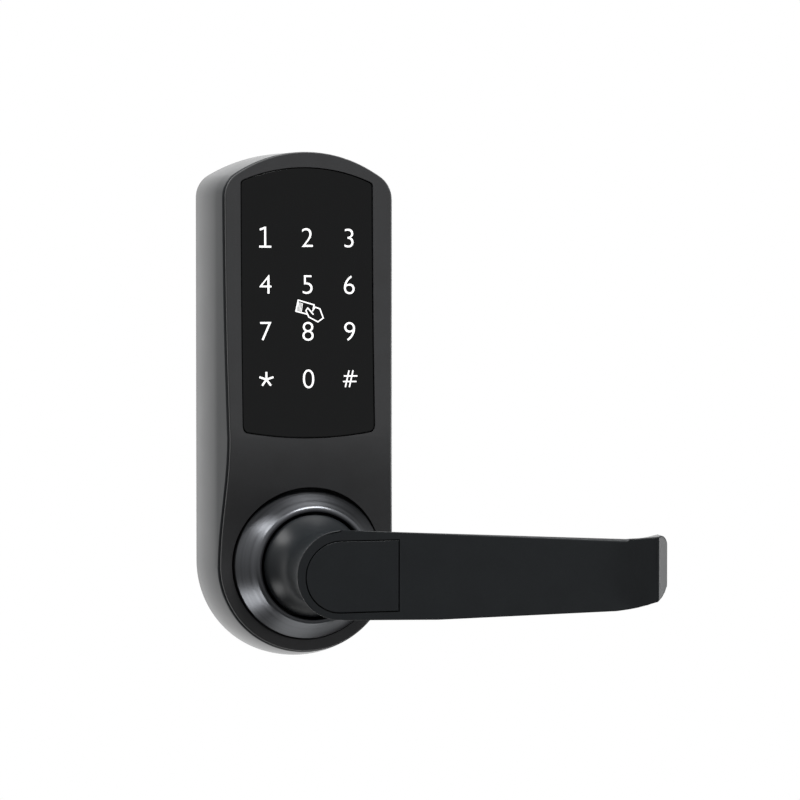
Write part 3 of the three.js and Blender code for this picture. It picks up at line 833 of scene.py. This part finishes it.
def curve(start, middle, stop):
    """Points after the start on a quadratic curve pulled towards the middle point."""
    points = []
    for i in range(1, CURVE_STEPS + 1):
        t = i / CURVE_STEPS
        weights = (1 - t) ** 2, 2 * t * (1 - t), t**2
        points.append(
            tuple(weights[0] * a + weights[1] * b + weights[2] * c for a, b, c in zip(start, middle, stop))
        )
    return points


def grip_elevation():
    """The grip seen from the front: round at the hub, flared at its tip, leaning in at the back."""
    back = LEVER_FRONT - GRIP_REACH_BACK
    lean = 1 - GRIP["lean"] * GRIP_REACH_BACK
    piece = pen(
        "grip_elevation",
        (-3, HUB_R - 1.5),
        [
            (-3, -HUB_R + 1.5),
            (0.5, -HUB_R - 0.1),
            (35, -16.5),
            (101, -15.5),
            *curve((101, -15.5), (116.4, -14.5), (118.8, -6.5)),
            *curve((118.8, -6.5), (120.1, 1.5), (119.1, 8)),
            *curve((119.1, 8), (118, 12.2), (114.8, 11.3)),
            *curve((114.8, 11.3), (111.5, 10.4), (106.9, 10.3)),
            (0.5, HUB_R + 0.1),
        ],
        depth=back,
    )
    bpy.ops.transform.resize(value=(1, 1, lean), center_override=(0, -back, 0))
    pull(LEVER_FRONT - back)
    bpy.ops.transform.resize(value=(1, 1, 1 / lean), center_override=(0, -LEVER_FRONT, 0))
    pull(16)
    return end(piece)


def grip_plan():
    """The grip seen from above: a flat bar whose tip thins as it curls away from the door."""
    centre = LEVER_FRONT + GRIP["curl_r"]
    curl = math.radians(GRIP["curl"])
    reach = GRIP["curl_r"] + GRIP["tip_thick"]
    turns = [curl * i / CURVE_STEPS for i in range(CURVE_STEPS + 1)]
    back_curve = [
        (GRIP["bend"] + reach * math.sin(turn), centre - reach * math.cos(turn)) for turn in turns
    ]
    tip = GRIP["bend"] + GRIP["curl_r"] * math.sin(curl), centre - GRIP["curl_r"] * math.cos(curl)
    piece = pen(
        "lever_grip",
        (-5, LEVER_FRONT - GRIP["thick"]),
        [*back_curve, tip, (GRIP["bend"], centre, -GRIP["curl"], CURVE_STEPS), (-5, LEVER_FRONT)],
    )
    pull(-40)
    bpy.ops.mesh.select_all(action="SELECT")
    bpy.ops.transform.translate(value=(0, -20, 0))
    end(piece)
    piece.rotation_euler.x = math.pi / 2
    bpy.ops.object.transform_apply(location=False, rotation=True, scale=False)
    return piece


def insert_outline(name, shrink, back, front):
    """The D-shaped plate let into the hub, as a solid between two depths."""
    r = INSERT_R - shrink
    right = PLATE_HIGH.x + INSERT_GAP - shrink
    piece = pen(
        name,
        (right, INSERT_Z + r),
        [(0, INSERT_Z + r), (0, INSERT_Z, 180, 48), (right, INSERT_Z - r)],
        depth=back,
    )
    pull(front - back)
    return end(piece)


def lever():
    """Neck and grip in one casting, bored for the drive sleeve and the key barrel."""
    grip = combine(grip_plan(), "INTERSECT", grip_elevation())
    merge_close(grip, 0.05)
    handle = combine(neck(), "UNION", grip)
    plate_back = LEVER_FRONT - PLATE_THICK
    sleeve = rod("sleeve_bore", SLEEVE_BORE["radius"], NECK["base"] - 1, SLEEVE_BORE["front"])
    combine(handle, "DIFFERENCE", sleeve)
    barrel = rod("barrel_bore", BARREL_BORE["radius"], BARREL_BORE["back"], plate_back)
    combine(handle, "DIFFERENCE", barrel)
    recess = insert_outline("recess", 0, plate_back - FIT, LEVER_FRONT + 1)
    combine(handle, "DIFFERENCE", recess)
    # the hub's front is brought level with the grip's
    reopen(handle)
    select(handle, lambda co: co.y < -LEVER_FRONT + 0.1 and co.x < GRIP["bend"])
    bpy.ops.transform.resize(value=(1, 0, 1), center_override=(0, -LEVER_FRONT, 0))
    end(handle)
    merge_close(handle, 0.1)

    def outer(co):
        """The front's and the grip's edges, but not those round the D-shaped plate."""
        by_insert = abs(co.z - INSERT_Z) < INSERT_R + 0.4 and co.x < PLATE_HIGH.x + 1
        if co.x < 0:
            by_insert = math.hypot(co.x, co.z - INSERT_Z) < INSERT_R + 0.4
        return (co.y < -LEVER_FRONT + 1 or co.x > HUB_R + 1) and not by_insert

    def top_edge(co):
        above = co.z > HUB_R - 0.8 - TOP_EDGE_FALL * co.x
        return above and co.y < -LEVER_FRONT + 0.1 and 0.4 < co.x < GRIP["bend"] + 0.5

    round_edges(handle, 1.5, top_edge, sharper_than=45, segments=6)
    round_edges(handle, 0.5, outer, sharper_than=45, segments=3)
    return finish(handle, "lever", "black_zinc", "lever_handle", smooth=30)


def lever_cover():
    """The D-shaped plate over the key, which lifts off."""
    plate = insert_outline("lever_cover_plate", INSERT_GAP, LEVER_FRONT - PLATE_THICK, LEVER_FRONT)
    round_edges(plate, 0.25, lambda co: co.y < -LEVER_FRONT + 0.5)
    return finish(plate, "lever_cover", "black_zinc", "lever_cover", smooth=30)


def softened(cad_name, body, slot):
    """A merged copy of a CAD node with its edges broken and its round faces shaded smooth."""
    piece = frame["nodes"][cad_name].copy()
    piece.data = piece.data.copy()
    piece.name = piece.data.name = f"{cad_name}_finished"
    piece.parent = None
    bpy.context.collection.objects.link(piece)
    for key in list(piece.keys()):
        del piece[key]
    reopen(piece)
    bpy.ops.mesh.select_all(action="SELECT")
    bpy.ops.transform.resize(value=(1 / M_PER_MM,) * 3, center_override=(0, 0, 0))
    bpy.ops.mesh.remove_doubles(threshold=0.005)
    bpy.ops.mesh.dissolve_limited(angle_limit=math.radians(1))
    end(piece)
    round_edges(piece, 0.2, sharper_than=40, segments=2)
    return finish(piece, body, slot, cad_name, smooth=40)


# CAD nodes that show from outside and only need their edges broken
SOFTENED = (
    "door_gasket", "back_plate", "mounting_post_1", "mounting_post_2", "spindle",
    "lever_set_screw", "cable_grommet",
    "plate_screw_1", "plate_screw_2", "plate_screw_3", "plate_screw_4",
)


# ---------------------------------------------------------------- camera, light and floor
# metres and degrees: turned to the right and dipped from level
CAMERA = {"place": (-0.2076, -0.8717, 0.0784), "turn": 15.99, "dip": 1.27, "lens": 108.4, "sensor": 36}
# name, place, the point it is turned to, width, height and power
SOFTBOXES = (
    ("top_left", (-0.9, 0.2, 1.0), (0, 0, 0.03), 0.5, 0.5, 4.5),
    ("low_left", (-0.9, 0.3, -0.75), (0, 0, 0.0), 0.35, 0.35, 1.5),
    ("overhead", (0.15, -0.3, 0.95), (0, 0, 0.0), 0.6, 0.3, 7),
    ("right_side", (0.95, -0.3, -0.15), (0.1, 0, 0.0), 0.3, 0.5, 3),
)
FLOOR = {"radius": 0.3, "place": (0.03, 0, -0.65)}
WALL_BEHIND = 1.9  # brightness of the white wall behind the lock
SHADE_BELOW, SHADE_ABOVE = 0.07, 0.62  # brightness of the room from its floor to its ceiling


def place_camera():
    data = bpy.data.cameras.new("camera")
    camera = bpy.data.objects.new("camera", data)
    bpy.context.collection.objects.link(camera)
    data.lens = CAMERA["lens"]
    data.sensor_width = CAMERA["sensor"]
    camera.location = CAMERA["place"]
    turn, dip = math.radians(CAMERA["turn"]), math.radians(CAMERA["dip"])
    forward = Vector((math.sin(turn) * math.cos(dip), math.cos(turn) * math.cos(dip), -math.sin(dip)))
    camera.rotation_euler = forward.to_track_quat("-Z", "Y").to_euler()
    bpy.context.scene.camera = camera


def light_room():
    """A room that is white behind the lock and to the eye, and darker towards its floor."""
    world = bpy.data.worlds.new("studio")
    bpy.context.scene.world = world
    world.use_nodes = True
    tree = world.node_tree
    tree.nodes.clear()
    way = node(tree, "ShaderNodeTexCoord").outputs["Generated"]
    parts = node(tree, "ShaderNodeSeparateXYZ", {"Vector": way})
    behind = node(
        tree,
        "ShaderNodeMapRange",
        {"Value": parts.outputs["Y"], "From Min": 0.4, "From Max": 0.98, "To Min": 0.0, "To Max": 1.0},
        interpolation_type="SMOOTHSTEP",
    )
    above = node(
        tree,
        "ShaderNodeMapRange",
        {
            "Value": parts.outputs["Z"],
            "From Min": -0.4,
            "From Max": 1.0,
            "To Min": SHADE_BELOW,
            "To Max": SHADE_ABOVE,
        },
    )
    room = node(
        tree,
        "ShaderNodeMix",
        {"Factor": behind.outputs["Result"], "A": above.outputs["Result"], "B": WALL_BEHIND},
        data_type="FLOAT",
    )
    seen = node(tree, "ShaderNodeLightPath").outputs["Is Camera Ray"]
    level = node(
        tree,
        "ShaderNodeMix",
        {"Factor": seen, "A": room.outputs["Result"], "B": 1.0},
        data_type="FLOAT",
    )
    sky = node(
        tree, "ShaderNodeBackground", {"Color": (1, 1, 1, 1), "Strength": level.outputs["Result"]}
    )
    node(tree, "ShaderNodeOutputWorld", {"Surface": sky.outputs["Background"]})


def softbox(name, place, aim, width, height, power):
    data = bpy.data.lights.new(name, "AREA")
    data.shape = "RECTANGLE"
    data.size, data.size_y = width, height
    data.energy = power
    light = bpy.data.objects.new(name, data)
    bpy.context.collection.objects.link(light)
    light.location = place
    light.rotation_euler = (Vector(aim) - Vector(place)).to_track_quat("-Z", "Y").to_euler()


def studio():
    place_camera()
    light_room()
    for settings in SOFTBOXES:
        softbox(*settings)

    bpy.ops.object.select_all(action="DESELECT")
    bpy.ops.mesh.primitive_circle_add(
        vertices=96, radius=FLOOR["radius"], fill_type="NGON", location=FLOOR["place"]
    )
    floor = bpy.context.object
    floor.name = "floor"
    floor.data.materials.append(
        speckled("matt_white_table", "#e6e6e4", "#efefed", 0.0, 0.8, 0.05, 2.0, 0.02)
    )
    bpy.context.scene.view_settings.view_transform = "Standard"


def main():
    studio()
    record = frame["record"]
    bodies = record["behaviour"]["bodies"]
    body_of = {name: body for body, names in bodies.items() for name in names}
    slot_of = {part["node"]: part["material_slot"] for part in record["subparts"]}
    for name, carried in frame["nodes"].items():
        carried.data.materials.clear()
        carried.data.materials.append(FINISHES[slot_of[name]])
    rear_housing()
    cover_seal()
    front_cover()
    keypad_glass()
    for row, legends in enumerate(KEY_ROWS):
        for column, legend in enumerate(legends):
            numeral(legend, column, row)
    card_and_hand()
    collar()
    lever()
    lever_cover()
    for name in SOFTENED:
        softened(name, body_of[name], slot_of[name])
    bpy.data.objects.remove(FORM)


main()
